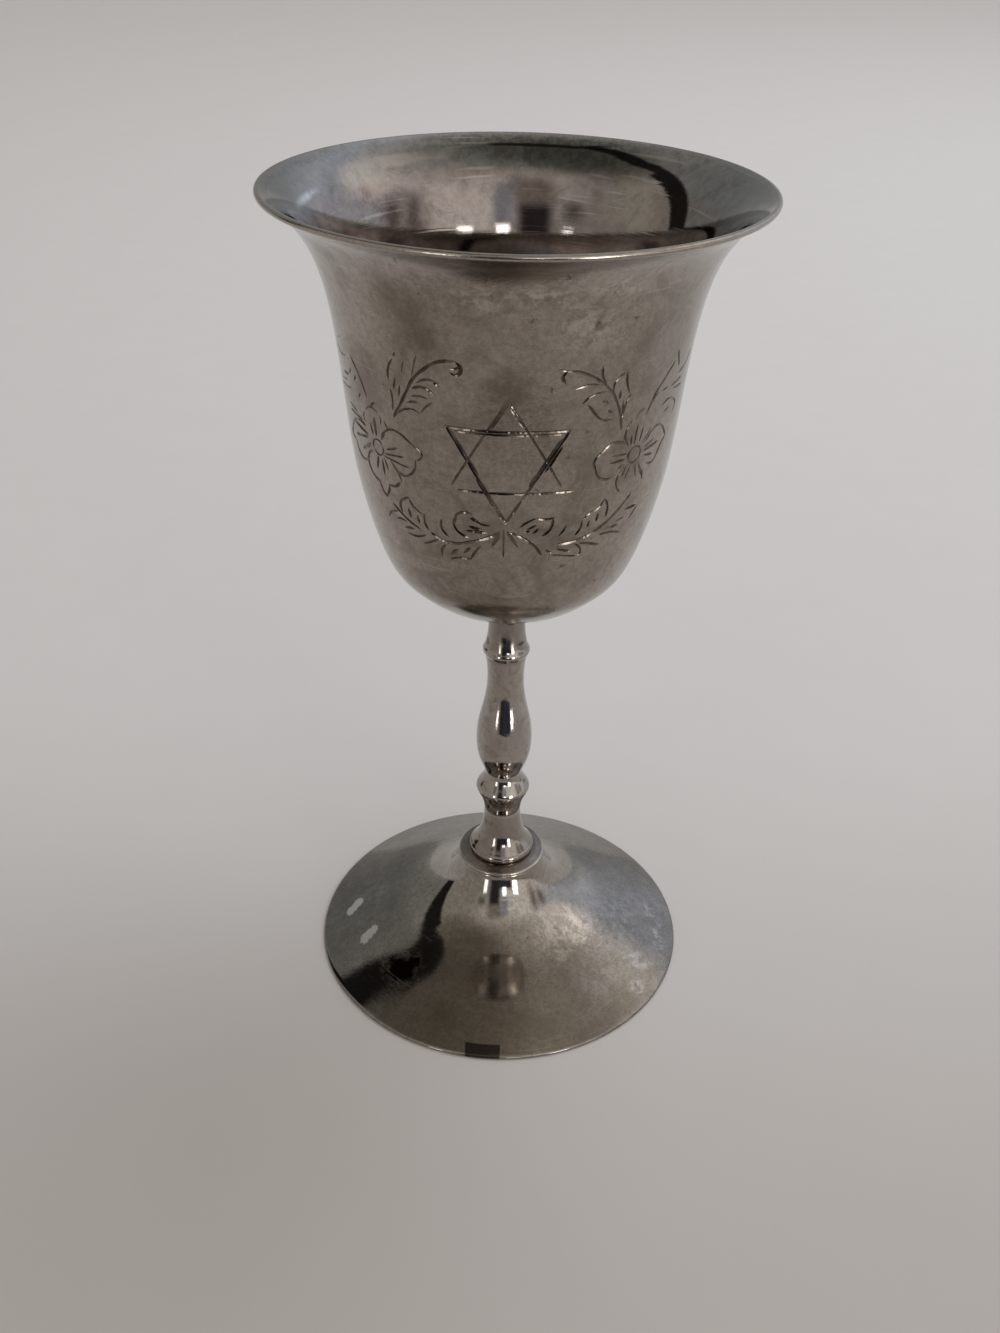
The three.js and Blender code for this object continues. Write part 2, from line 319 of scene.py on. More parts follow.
UPPER_LEFT_SPRAY = [
    # stem, curling in over the star
    (0.46, (-16.1, -1.2), (-15.0, 0.5), (-13.3, 3.5), (-12.1, 5.5), (-10.4, 7.2), (-8.7, 8.4), (-6.3, 8.9)),
    (0.5, (-6.4, 8.9), (-5.7, 8.0), (-6.1, 7.0), (-7.2, 7.3)),
    (0.36, (-7.2, 7.7), (-6.3, 7.9), (-5.6, 8.4)),
    # leaf under the stem, and the strokes that fill it
    (0.3, (-15.4, -0.4), (-13.6, 0.8), (-12.3, 0.9), (-11.5, 0.5)),
    (0.34, (-11.4, 0.7), (-10.6, 1.8), (-9.6, 2.6)), (0.36, (-11.9, 4.8), (-10.2, 5.7), (-8.6, 5.4)),
    (0.5, (-9.4, 5.6), (-8.6, 5.0)), (0.4, (-12.6, 3.9), (-11.0, 4.5), (-9.1, 3.6)),
    (0.36, (-12.8, 2.8), (-11.4, 3.1), (-10.2, 2.9)), (0.36, (-13.5, 1.7), (-12.5, 2.1), (-11.7, 2.1)),
    # leaf outside the stem
    (0.34, (-16.1, -0.2), (-15.9, 2.0), (-16.1, 3.2)), (0.38, (-16.2, 4.0), (-16.2, 5.3), (-15.0, 7.6)),
    (0.34, (-14.9, 7.8), (-14.5, 8.6)), (0.4, (-15.5, 3.0), (-15.0, 5.0)),
    (0.34, (-14.7, 2.2), (-14.4, 4.0)), (0.28, (-12.4, 5.6), (-11.4, 8.8)),
    (0.3, (-13.9, 5.8), (-13.4, 7.6)),
]

UPPER_RIGHT_SPRAY = [
    (0.42, (15.5, -1.8), (15.0, 0.5), (14.2, 2.5), (13.2, 4.2), (11.8, 5.6), (10.4, 6.7), (8.9, 7.5),
     (7.2, 8.0)),
    (0.34, (5.6, 8.3), (7.5, 7.8)), (0.5, (7.0, 8.0), (6.4, 7.2), (6.9, 6.1)),
    # bud on the stem
    (0.42, (11.4, 8.2), (11.5, 6.8), (12.3, 5.3)),
    # leaf inside the stem
    (0.36, (8.1, 5.3), (9.8, 5.7), (11.5, 5.5)), (0.38, (9.2, 3.1), (10.0, 3.9), (11.1, 4.3)),
    (0.38, (10.8, 4.4), (12.9, 4.3)), (0.38, (9.9, 3.0), (11.2, 1.4), (12.2, 0.4), (14.0, 0.2)),
    (0.42, (11.9, 3.2), (13.0, 2.6)), (0.42, (12.9, 1.7), (13.7, 1.1)),
    # leaf outside the stem
    (0.36, (13.5, 3.9), (13.4, 5.3), (14.0, 6.1), (15.2, 6.7)),
    (0.38, (15.1, 6.8), (15.3, 5.2), (16.1, 3.3)), (0.4, (16.3, 3.4), (15.7, 2.1), (15.3, 0.0)),
    (0.42, (14.5, 4.3), (14.5, 2.7)), (0.36, (15.2, 2.7), (15.2, 0.8)),
]

RIGHT_SIDE_SPRAY = [
    (0.4, (20.2, 0.6), (21.2, 2.2), (22.7, 3.8), (24.8, 5.8)),
    (0.36, (23.1, -0.5), (24.8, 0.2), (26.5, -0.4), (27.6, -1.3), (26.9, -2.8)),
    (0.36, (24.0, -1.6), (25.6, -1.2)), (0.4, (24.8, 7.4), (26.3, 4.4)), (0.36, (24.8, 2.0), (28.2, 2.4)),
    (0.36, (25.6, 1.4), (29.0, 1.1)), (0.36, (26.2, 3.4), (29.2, 4.2), (30.6, 5.8)),
    (0.34, (22.6, 2.0), (24.1, 2.2)),
]

LEFT_SIDE_SPRAY = [
    (0.36, (-27.1, 0.6), (-30.1, 0.1)), (0.4, (-25.7, -0.1), (-28.4, -0.6), (-30.9, -0.8)),
    (0.36, (-27.2, 6.8), (-29.0, 6.2)), (0.4, (-21.3, 0.0), (-22.4, 2.4), (-24.6, 5.2)),
    (0.4, (-24.9, 3.2), (-26.1, 1.9), (-28.4, 1.6)), (0.46, (-23.7, 2.6), (-24.4, 1.4)),
    (0.36, (-22.9, 0.4), (-23.7, -0.8)), (0.34, (-26.0, 4.6), (-28.6, 4.2), (-30.0, 5.2)),
]

LOWER_LEFT_GARLAND = [
    (0.5, (-0.8, 4.3), (-2.0, 3.4), (-3.7, 2.6), (-5.8, 1.8), (-7.9, 1.3), (-10.0, 1.5), (-11.6, 2.4)),
    (0.44, (-13.2, 2.2), (-15.4, 3.1), (-17.1, 4.1), (-18.5, 5.2)),
    # opened tulip
    (0.44, (-7.3, 4.9), (-7.1, 6.2), (-5.8, 6.9), (-4.6, 6.6)),
    (0.44, (-7.5, 5.7), (-7.5, 4.4), (-6.7, 3.3), (-5.3, 2.7)),
    (0.36, (-4.9, 6.4), (-3.5, 5.3), (-2.0, 5.1)), (0.5, (-5.2, 6.1), (-3.8, 5.6)),
    (0.55, (-5.4, 4.7), (-3.2, 4.3)), (0.5, (-5.9, 3.9), (-2.6, 3.9)),
    (0.44, (-9.4, 5.1), (-9.6, 3.7), (-8.5, 2.2)),
    # leaf above the stem
    (0.44, (-16.4, 3.9), (-16.7, 5.3), (-15.9, 6.5), (-14.6, 7.2)),
    (0.4, (-14.9, 7.1), (-14.2, 6.0), (-12.5, 5.0)), (0.42, (-12.2, 5.4), (-12.4, 3.8), (-11.8, 2.4)),
    (0.6, (-15.1, 5.4), (-14.9, 3.6)), (0.5, (-13.6, 4.7), (-13.4, 3.2)),
    # leaves outside, and their hatching
    (0.44, (-20.2, 2.0), (-19.0, 3.4), (-17.3, 4.1)), (0.4, (-18.2, 2.6), (-17.0, 2.9), (-15.9, 2.7)),
    (0.42, (-16.7, 1.5), (-15.6, 1.9), (-14.5, 1.9)), (0.38, (-16.4, 0.8), (-14.4, 0.8), (-12.3, 1.7)),
    (0.34, (-13.3, -0.1), (-11.6, 0.7), (-10.2, 1.6)),
    # leaf under the stem
    (0.4, (-10.1, -1.6), (-10.0, -0.3), (-9.0, 0.9)), (0.4, (-8.8, -1.7), (-7.6, -1.2), (-5.1, -1.0)),
    (0.42, (-5.4, -1.1), (-4.6, 0.3), (-3.6, 1.7)), (0.55, (-8.6, -0.8), (-7.1, 0.5)),
    (0.55, (-6.5, -0.2), (-5.2, 1.1)),
]

LOWER_RIGHT_GARLAND = [
    (0.5, (7.4, 1.7), (9.3, 1.8), (11.4, 2.1), (13.1, 2.7), (15.2, 3.8), (17.3, 5.4), (19.6, 7.6)),
    (0.42, (0.4, 4.2), (2.2, 3.4), (3.6, 2.4), (4.7, 1.3), (5.5, 0.0)),
    # opened tulip
    (0.36, (1.9, 4.9), (3.0, 5.9), (4.4, 6.5)), (0.4, (4.1, 6.6), (5.5, 6.2), (6.9, 6.5)),
    (0.48, (6.6, 6.5), (6.5, 4.8), (5.2, 3.4)), (0.55, (4.8, 4.9), (3.8, 3.9)),
    (0.45, (2.9, 4.6), (4.4, 5.4)), (0.4, (2.6, 4.2), (3.6, 4.5)),
    (0.44, (8.7, 5.1), (8.4, 4.1), (7.6, 3.1)),
    # leaf above the stem
    (0.4, (10.2, 2.8), (11.0, 4.0), (11.1, 5.5)),
    (0.36, (11.1, 5.2), (12.2, 6.2), (13.4, 6.7), (14.4, 8.1)),
    (0.42, (14.3, 8.2), (15.1, 6.8), (15.1, 4.9)), (0.55, (13.7, 6.0), (13.5, 4.5)),
    (0.5, (12.4, 5.1), (12.1, 3.9)),
    # leaves outside, and their hatching
    (0.5, (18.6, 5.1), (21.5, 5.0)), (0.44, (17.4, 3.5), (19.1, 3.8)), (0.44, (16.2, 2.8), (18.3, 2.8)),
    (0.36, (21.9, 4.8), (20.3, 3.0)), (0.4, (14.5, 2.1), (16.9, 1.9), (19.2, 1.1)),
    (0.44, (11.2, 1.4), (13.3, 0.9), (15.2, 0.2)), (0.5, (7.6, 1.0), (10.0, 0.2)),
    (0.42, (5.9, 1.0), (7.1, 0.3)), (0.38, (10.4, 1.5), (11.6, 0.4), (11.8, -0.4), (11.1, -0.9)),
    (0.32, (11.3, -0.9), (9.0, -0.4), (6.9, 0.0)),
]

# Each set of strokes, and the place [across, up] that it is drawn about.
PATTERN = [
    (BURST, (0, 90)), (ring(1.15, 0.3) + LEFT_FLOWER, (-20, 103.2)),
    (ring(1.2, 0.3) + RIGHT_FLOWER, (18.7, 103.8)), (UPPER_LEFT_SPRAY, (0, 110)),
    (UPPER_RIGHT_SPRAY, (0, 110)), (RIGHT_SIDE_SPRAY, (0, 110)), (LEFT_SIDE_SPRAY, (0, 110)),
    (LOWER_LEFT_GARLAND, (0, 90)), (LOWER_RIGHT_GARLAND, (0, 90)),
]


class Groove:
    """One stroke as a V-shaped cut: its middle line, half widths and directions aside."""

    def __init__(self, stroke, about=(0, 0)):
        width, *places = stroke
        line = smooth_run(np.array(places) + about, CUT_STEP)
        along = np.gradient(line, axis=0)
        along /= np.linalg.norm(along, axis=1)[:, None]
        aside = np.column_stack([-along[:, 1], along[:, 0]])
        lengths = np.concatenate([[0], np.cumsum(np.linalg.norm(np.diff(line, axis=0), axis=1))])
        total = lengths[-1]
        end = min(POINTED_END, total * POINTED_SHARE)
        rise = np.clip(np.minimum(lengths, total - lengths) / end, 0, 1)
        waves = HAND_PRESSURE * np.sin(lengths * HAND_WAVES + hand.uniform(0, 6))
        swell = np.sin(rise * math.pi / 2) * (1 - HAND_PRESSURE + waves)
        width *= CUT_SPREAD
        self.line = line + aside * (hand.normal(0, HAND_WAVER, len(line)) * rise)[:, None]
        self.aside = aside
        self.half = width / 2 * swell
        self.deep = width * CUT_DEPTH * swell

    def edge(self, side):
        return self.line + self.aside * (self.half * side)[:, None]

    def depth_at(self, places):
        """How deep the cut is at each of some places, 0 outside it."""
        depth = np.zeros(len(places))
        reach_aside = self.half.max() + 0.05
        low, high = self.line.min(axis=0) - reach_aside, self.line.max(axis=0) + reach_aside
        near = np.flatnonzero(((places > low) & (places < high)).all(axis=1))
        if len(near) == 0:
            return depth
        start, step = self.line[:-1], np.diff(self.line, axis=0)
        offset = places[near][:, None] - start
        share = np.clip((offset * step).sum(axis=2) / (step**2).sum(axis=1), 0, 1)
        gap = np.linalg.norm(offset - share[..., None] * step, axis=2)
        best = gap.argmin(axis=1)
        rows = np.arange(len(near))
        share, gap = share[rows, best], gap[rows, best]
        half = self.half[best] * (1 - share) + self.half[best + 1] * share
        deep = self.deep[best] * (1 - share) + self.deep[best + 1] * share
        inside = np.clip(1 - gap / np.maximum(half, 1e-6), 0, 1)
        depth[near] = np.where(half > 0.01, deep * inside, 0)
        return depth


def engraved_sheet(border):
    """The unrolled front, triangulated along every cut.

    border is the closed line of places that it shares with the rest of the bowl. Returns the
    places, their depths, the triangles, and for each place its number on the border or -1."""
    grooves = [Groove(stroke) for stroke in star()]
    grooves += [Groove(stroke, about) for strokes, about in PATTERN for stroke in strokes]
    places = [border]
    count = len(border)
    edges = [(i, (i + 1) % count) for i in range(count)]
    low, high = border.min(axis=0) + SHEET_GRID, border.max(axis=0) - SHEET_GRID / 2
    across, up = np.meshgrid(np.arange(low[0], high[0], SHEET_GRID), np.arange(low[1], high[1], SHEET_GRID))
    places.append(np.column_stack([across.ravel(), up.ravel()]))
    count += len(places[-1])
    for groove in grooves:
        steps = len(groove.line)
        for run in (groove.edge(-1), groove.line, groove.edge(1)):
            places.append(run)
            edges += [(count + i, count + i + 1) for i in range(steps - 1)]
            count += steps
    places = np.vstack(places)
    points = [Vector(place) for place in places]
    made, _, triangles, origins, _, _ = delaunay_2d_cdt(points, edges, [], 0, 1e-4, True)
    made = np.array([tuple(place) for place in made])
    depth = np.max([groove.depth_at(made) for groove in grooves], axis=0)
    depth[depth < CUT_SHALLOWEST] = 0
    on_border = np.full(len(made), -1)
    for i, olds in enumerate(origins):
        for old in olds:
            if old < len(border):
                on_border[i] = old
    depth[on_border >= 0] = 0
    return made, depth, np.array(triangles), on_border


# ---- bowl ----

# Outside of the bowl as [radius, height above its bottom], up to just under the lip.
BOWL_OUTLINE = [
    (0, 0), (5, 0.2), (10, 1.3), (13.4, 3), (15.9, 5.05), (17.75, 7), (19.4, 10), (20.8, 14), (22.1, 18.8),
    (23.3, 24.5), (24.2, 31.5), (25, 39.3), (25.9, 46.6), (27.5, 53.6), (29.1, 57.4), (31.1, 60.3),
    (33.2, 62.15), (35.05, 63.2),
]
BOWL_ROW = 0.55
ENGRAVED_COLUMNS = 43  # the engraved sheet's half width, in columns of the bowl
ENGRAVED_LOW = 84.0
ENGRAVED_HIGH = 122.0
LIP_STEPS = 7
OUTSIDE_SLOT, CUT_SLOT, INSIDE_SLOT = range(3)


def bowl_outline():
    """The outside from the bottom up, the rounded lip, and the inside down to the bottom."""
    outside = smooth_run(BOWL_OUTLINE, BOWL_ROW, start=(1, 0)) + [0, BOWL_BOTTOM]
    inside = (outside - outward(outside) * BOWL_WALL)[::-2]
    inside[-1, 0] = 0
    lip = half_round(outside[-1], inside[0], LIP_STEPS)
    lip[:, 1] = np.minimum(lip[:, 1], LIP_TOP)
    return outside, lip, inside


def on_the_turn(outline, turns):
    """Places [across the axis, up] set out at turns from the front."""
    return np.column_stack([outline[:, 0] * np.sin(turns), -outline[:, 0] * np.cos(turns), outline[:, 1]])


def window_in_the_grid(first, last):
    """The cells between two rows that the engraved sheet stands for, and the places round them."""
    columns = np.arange(-ENGRAVED_COLUMNS, ENGRAVED_COLUMNS + 1)
    rows = np.arange(first, last + 1)
    around = (
        [(first, column) for column in columns] + [(row, columns[-1]) for row in rows[1:]]
        + [(last, column) for column in columns[-2::-1]] + [(row, columns[0]) for row in rows[-2:0:-1]]
    )
    return columns[:-1] % BOWL_SIDES, np.array(around)


def make_bowl(outside_metal, cut_metal, inside_metal):
    """The hollow bowl with the engraved front as part of its mesh."""
    outside, lip, inside = bowl_outline()
    outline = np.vstack([outside, lip, inside])
    away = outward(outline)
    vertices, faces = turned(outline, BOWL_SIDES)
    turns = np.tile(np.arange(BOWL_SIDES) * 2 * math.pi / BOWL_SIDES, len(outline))
    normals = on_the_turn(np.repeat(away, BOWL_SIDES, axis=0), turns)

    # an engraved sheet stands for the cells at the front
    first, last = np.searchsorted(outside[:, 1], (ENGRAVED_LOW, ENGRAVED_HIGH))
    columns, around = window_in_the_grid(first, last)
    keep = np.ones(faces.shape[:2], bool)
    keep[first:last, columns] = False
    row_slot = np.repeat([OUTSIDE_SLOT, INSIDE_SLOT], [len(outside) + len(lip) - 1, len(inside)])
    slots = np.repeat(row_slot[:, None], BOWL_SIDES, axis=1)[keep]
    faces = faces[keep]
    column_width = 2 * math.pi / BOWL_SIDES * FRONT_RADIUS
    border = np.column_stack([around[:, 1] * column_width, outside[around[:, 0], 1]])
    places, depth, triangles, on_border = engraved_sheet(border)

    # bent back round the bowl, with each cut pressed in
    radius = np.interp(places[:, 1], outside[:, 1], outside[:, 0])
    lean = np.column_stack([np.interp(places[:, 1], outside[:, 1], away[:len(outside), k]) for k in (0, 1)])
    lean /= np.linalg.norm(lean, axis=1)[:, None]
    sheet_turns = places[:, 0] / FRONT_RADIUS
    sheet_normals = on_the_turn(lean, sheet_turns)
    bent = on_the_turn(np.column_stack([radius, places[:, 1]]), sheet_turns)
    sheet = bent - sheet_normals * depth[:, None]

    border_number = around[:, 0] * BOWL_SIDES + around[:, 1] % BOWL_SIDES
    number = np.where(on_border >= 0, border_number[on_border], len(vertices) + np.arange(len(sheet)))
    in_cut = (depth[triangles] > 0).any(axis=1)
    all_vertices = np.vstack([vertices, sheet])
    stay, kept, whole = merged(all_vertices, faces.tolist() + number[triangles].tolist())
    slots = np.concatenate([slots, in_cut * CUT_SLOT])[whole]
    metals = [outside_metal, cut_metal, inside_metal]
    piece = mesh_piece("engraved_bowl", all_vertices[stay], kept, metals, slots.tolist())
    set_corner_normals(piece.data, np.vstack([normals, sheet_normals])[stay], slots == CUT_SLOT)
    return piece


def set_corner_normals(mesh, vertex_normals, flat):
    """Gives each corner the true surface's normal, or its face's own where the face is flat."""
    corner_normals = []
    for polygon, is_flat in zip(mesh.polygons, flat):
        if is_flat:
            corner_normals += [tuple(polygon.normal)] * polygon.loop_total
        else:
            corner_normals += [tuple(vertex_normals[v]) for v in polygon.vertices]
    mesh.normals_split_custom_set(corner_normals)


# ---- stem, collar and foot ----

# Outside of the stem as [radius, height above the collar].
STEM_BEAD = [(5.45, 0.0), (5.66, 0.2), (5.74, 0.65), (5.6, 1.15), (5.3, 1.42)]
STEM_BODY = [
    (5.22, 1.62), (4.62, 2.45), (4.08, 3.5), (3.72, 4.6), (3.42, 6.1), (3.22, 7.8), (3.22, 9.3),
    (3.5, 10.8), (4.12, 12.4), (4.56, 13.35), (4.64, 13.85), (4.44, 14.4), (3.78, 15.5), (3.3, 16.7),
    (3.42, 17.9), (4.0, 19.5), (4.54, 21.5), (4.74, 23.8), (4.6, 26.6), (4.1, 29.3), (3.45, 32.3),
    (3.08, 35.4), (3.06, 37.3), (3.24, 39.6), (3.5, 41.0),
]
STEM_RING = [(3.6, 41.25), (3.86, 41.7), (3.86, 42.15), (3.62, 42.6)]
STEM_NECK = [(3.42, 43.1), (3.14, 44.6), (3.0, 46.5), (3.06, 48.4), (3.5, 50.2), (4.75, 51.66)]
STEM_STEP = 0.16
STEM_DISH = 0.15  # hollow in the stem's top, under the bowl


def make_stem(metal):
    """The cast stem, solid, with a sharp line between its bead, body, ring and neck."""
    runs = [smooth_run(part, STEM_STEP) for part in (STEM_BEAD, STEM_BODY, STEM_RING, STEM_NECK)]
    outline = np.vstack([[(0, 0)], *runs, [(0, runs[-1][-1, 1] - STEM_DISH)]]) + [0, COLLAR_TOP]
    return turned_piece("baluster_stem", outline, STEM_SIDES, [metal])


# Top of the collar as (radius, share of its thickness), from the edge inwards.
COLLAR_DISH = [(6.9, 0.68), (6.1, 0.86), (5.2, 1.0)]
COLLAR_STEP = 0.15
COLLAR_EDGE = 0.3  # radius of its rounded edge, as a share of its thickness


def make_collar(metal):
    """A thin disc, slightly dished, with a rounded edge."""
    thick = COLLAR_TOP - FOOT_TOP
    edge_radius = thick * COLLAR_EDGE
    low = np.array([COLLAR_RADIUS - edge_radius, 0])
    high = np.array([COLLAR_RADIUS - edge_radius, edge_radius * 2])
    top = smooth_run([high, *[(radius, thick * share) for radius, share in COLLAR_DISH]], COLLAR_STEP)
    outline = np.vstack([[(0, 0)], [low], half_round(low, high, 7), top, [(0, thick)]])
    return turned_piece("dished_collar", outline + [0, FOOT_TOP], STEM_SIDES, [metal])


# Outside of the foot as [radius, height], down from the neck to just above the edge.
FOOT_OUTLINE = [
    (7.3, 18.3), (7.62, 17.2), (8.3, 15.7), (9.5, 13.65), (11, 11.85), (13, 10.15), (15, 8.85), (17, 7.8),
    (19, 6.9), (21, 6.05), (24, 4.75), (28, 2.88), (32.5, 0.72),
]
FOOT_STEP = 0.35
FOOT_RING = 1.2  # width of the flat ring that the foot stands on
FOOT_INSIDE_LOWEST = 0.25
# Rolled edge of the foot as (distance inside its radius, height), outwards and up.
FOOT_EDGE = [(0.3, 0.0), (0.07, 0.1), (0.0, 0.32)]
FOOT_EDGE_STEP = 0.08


def make_foot(outside_metal, inside_metal):
    """The spun shell with its rolled edge, closed at the top and open below."""
    outside = smooth_run(FOOT_OUTLINE, FOOT_STEP)[::-1]
    inside = (outside - outward(outside) * FOOT_WALL)[::-2]
    inside = inside[inside[:, 1] > FOOT_INSIDE_LOWEST]
    inside[0, 1] = FOOT_TOP - FOOT_WALL
    rolled = [(FOOT_RADIUS - inset, height) for inset, height in FOOT_EDGE]
    edge = smooth_run([*rolled, outside[0]], FOOT_EDGE_STEP)
    ring_inside = [(FOOT_RADIUS - FOOT_RING, 0)]
    outer = np.vstack([ring_inside, edge, outside[1:], [(0, FOOT_TOP)]])
    inner = np.vstack([[(0, FOOT_TOP - FOOT_WALL)], inside, ring_inside])
    row_slots = np.repeat([0, 1], [len(outer) - 1, len(inner)])
    return turned_piece(
        "trumpet_foot", np.vstack([outer, inner]), FOOT_SIDES, [outside_metal, inside_metal], row_slots
    )


# ---- shader helpers ----


def add_node(tree, kind, sockets=None, **settings):
    """A node whose input sockets take either a value or another node's output."""
    node = tree.nodes.new("ShaderNode" + kind)
    for name, value in settings.items():
        setattr(node, name, value)
    for name, value in (sockets or {}).items():
        socket = node.inputs[name]
        if isinstance(value, bpy.types.NodeSocket):
            tree.links.new(value, socket)
        elif isinstance(value, tuple) and socket.type == "RGBA":
            socket.default_value = (*value, 1.0)
        else:
            socket.default_value = value
    return node


def math_node(tree, operation, first, second=0.0):
    return add_node(tree, "Math", {0: first, 1: second}, operation=operation).outputs[0]


def times(tree, first, second):
    return math_node(tree, "MULTIPLY", first, second)


def plus(tree, first, second):
    return math_node(tree, "ADD", first, second)


def noise(tree, vector, scale, detail=3.0, roughness=0.55, distortion=0.0):
    return add_node(tree, "TexNoise", {
        "Vector": vector, "Scale": scale, "Detail": detail, "Roughness": roughness, "Distortion": distortion,
    }).outputs["Fac"]


def ramp(tree, value, low, high):
    """0 at low, 1 at high and eased between them. low may be the greater."""
    return add_node(tree, "MapRange", {
        "Value": value, "From Min": low, "From Max": high,
    }, interpolation_type="SMOOTHSTEP").outputs["Result"]


def blend_colour(tree, factor, first, second):
    node = add_node(tree, "Mix", {0: factor}, data_type="RGBA")
    for place, value in ((6, first), (7, second)):
        if isinstance(value, bpy.types.NodeSocket):
            tree.links.new(value, node.inputs[place])
        else:
            node.inputs[place].default_value = (*value, 1.0)
    return node.outputs[2]


def new_group(name, inputs, output):
    """An empty node group with named inputs and one output. Returns it with its two end nodes."""
    tree = bpy.data.node_groups.new(name, "ShaderNodeTree")
    for label, kind in inputs.items():
        tree.interface.new_socket(label, in_out="INPUT", socket_type="NodeSocket" + kind)
    tree.interface.new_socket(output, in_out="OUTPUT", socket_type="NodeSocketFloat")
    return tree, tree.nodes.new("NodeGroupInput").outputs, tree.nodes.new("NodeGroupOutput").inputs


def scale_for(tree, size):
    """The noise scale that makes features of a size in millimetres."""
    return math_node(tree, "DIVIDE", 1 / MM, size)


def unrolled(tree, position):
    """The position as metres round the front, metres along the outline, and metres from the axis."""
    parts = add_node(tree, "SeparateXYZ", {"Vector": position}).outputs
    turn = math_node(tree, "ARCTAN2", parts[0], times(tree, parts[1], -1.0))
    squares = plus(tree, times(tree, parts[0], parts[0]), times(tree, parts[1], parts[1]))
    from_axis = math_node(tree, "SQRT", squares)
    along = math_node(tree, "SUBTRACT", parts[2], from_axis)
    sockets = {0: times(tree, turn, FRONT_RADIUS * MM), 1: along, 2: from_axis}
    return add_node(tree, "CombineXYZ", sockets).outputs[0]


# ---- effects shared by the metals ----
# Each is a group that gives a value from 0 to 1 at every place of the surface.


def patches_group(name, detail, roughness, distortion, low, high):
    """Uneven patches of a size. low and high are the levels where they begin and are full."""
    tree, given, made = new_group(name, {"Position": "Vector", "Size": "Float"}, "Patches")
    field = noise(tree, given["Position"], scale_for(tree, given["Size"]), detail, roughness, distortion)
    tree.links.new(ramp(tree, field, low, high), made["Patches"])
    return tree


def spots_group():
    """Small dark spots, in loose crowds."""
    tree, given, made = new_group("dark_spots", {"Position": "Vector", "Share": "Float"}, "Spots")
    fine = noise(tree, given["Position"], 520.0, 3.0, 0.6, 0.5)
    crowds = noise(tree, given["Position"], 90.0, 2.0)
    level = plus(tree, fine, times(tree, crowds, 0.25))
    edge = math_node(tree, "SUBTRACT", 0.9, times(tree, given["Share"], 0.2))
    spots = times(tree, math_node(tree, "SUBTRACT", level, edge), 14.0)
    tree.links.new(math_node(tree, "MINIMUM", math_node(tree, "MAXIMUM", spots, 0.0), 1.0), made["Spots"])
    return tree


def scratches_group():
    """Fine scratches in three directions round the surface."""
    tree, given, made = new_group("fine_scratches", {"Position": "Vector", "Share": "Float"}, "Scratches")
    flat = unrolled(tree, given["Position"])
    total = 0.0
    for turn, length, width in ((12, 60.0, 2600.0), (-48, 90.0, 3000.0), (74, 70.0, 2200.0)):
        turned_flat = add_node(tree, "Mapping", {
            "Vector": flat, "Rotation": (0, 0, math.radians(turn)), "Scale": (length, width, 1.0),
        }).outputs["Vector"]
        lines = noise(tree, turned_flat, 1.0, 1.0, 0.5, 0.3)
        level = plus(tree, lines, times(tree, noise(tree, flat, 130.0 + turn, 2.0), 0.12))
        edge = math_node(tree, "SUBTRACT", 0.86, times(tree, given["Share"], 0.1))
        line = times(tree, math_node(tree, "SUBTRACT", level, edge), 16.0)
        total = math_node(tree, "MAXIMUM", total, line)
    tree.links.new(math_node(tree, "MINIMUM", total, 1.0), made["Scratches"])
    return tree


def spinning_group():
    """Faint lines left round the metal by spinning and polishing."""
    tree, given, made = new_group("spinning_lines", {"Position": "Vector", "Spacing": "Float"}, "Lines")
    along = add_node(tree, "SeparateXYZ", {"Vector": unrolled(tree, given["Position"])}).outputs[1]
    waver = times(tree, noise(tree, given["Position"], 30.0, 1.0), 3.0)
    place = plus(tree, times(tree, along, scale_for(tree, given["Spacing"])), waver)
    lines = add_node(tree, "TexNoise", {
        "W": place, "Scale": 1.0, "Detail": 3.0, "Roughness": 0.6,
    }, noise_dimensions="1D").outputs["Fac"]
    tree.links.new(lines, made["Lines"])
    return tree


def mark_group():
    """One mark of a size about a centre. Ragged breaks up its edge and Soft spreads it."""
    inputs = {"Position": "Vector", "Centre": "Vector", "Size": "Vector", "Ragged": "Float", "Soft": "Float"}
    tree, given, made = new_group("placed_mark", inputs, "Mark")
    sockets = {0: given["Position"], 1: given["Centre"]}
    offset = add_node(tree, "VectorMath", sockets, operation="SUBTRACT").outputs[0]
    share = add_node(tree, "VectorMath", {0: offset, 1: given["Size"]}, operation="DIVIDE").outputs[0]
    distance = add_node(tree, "VectorMath", {0: share}, operation="LENGTH").outputs["Value"]
    uneven = math_node(tree, "SUBTRACT", noise(tree, share, 2.3, 5.0, 0.66), 0.5)
    distance = plus(tree, distance, times(tree, uneven, given["Ragged"]))
    inner = math_node(tree, "SUBTRACT", 1.0, given["Soft"])
    tree.links.new(ramp(tree, distance, 1.0, inner), made["Mark"])
    return tree


CLOUDS = patches_group("tarnish_clouds", 5.0, 0.62, 0.4, 0.36, 0.66)
MOTTLE = patches_group("close_mottle", 6.0, 0.78, 0.2, 0.42, 0.6)
SMEARS = patches_group("wiped_smears", 6.0, 0.68, 1.6, 0.46, 0.66)
SPOTS = spots_group()
SCRATCHES = scratches_group()
SPINNING = spinning_group()
MARK = mark_group()


# ---- metals ----


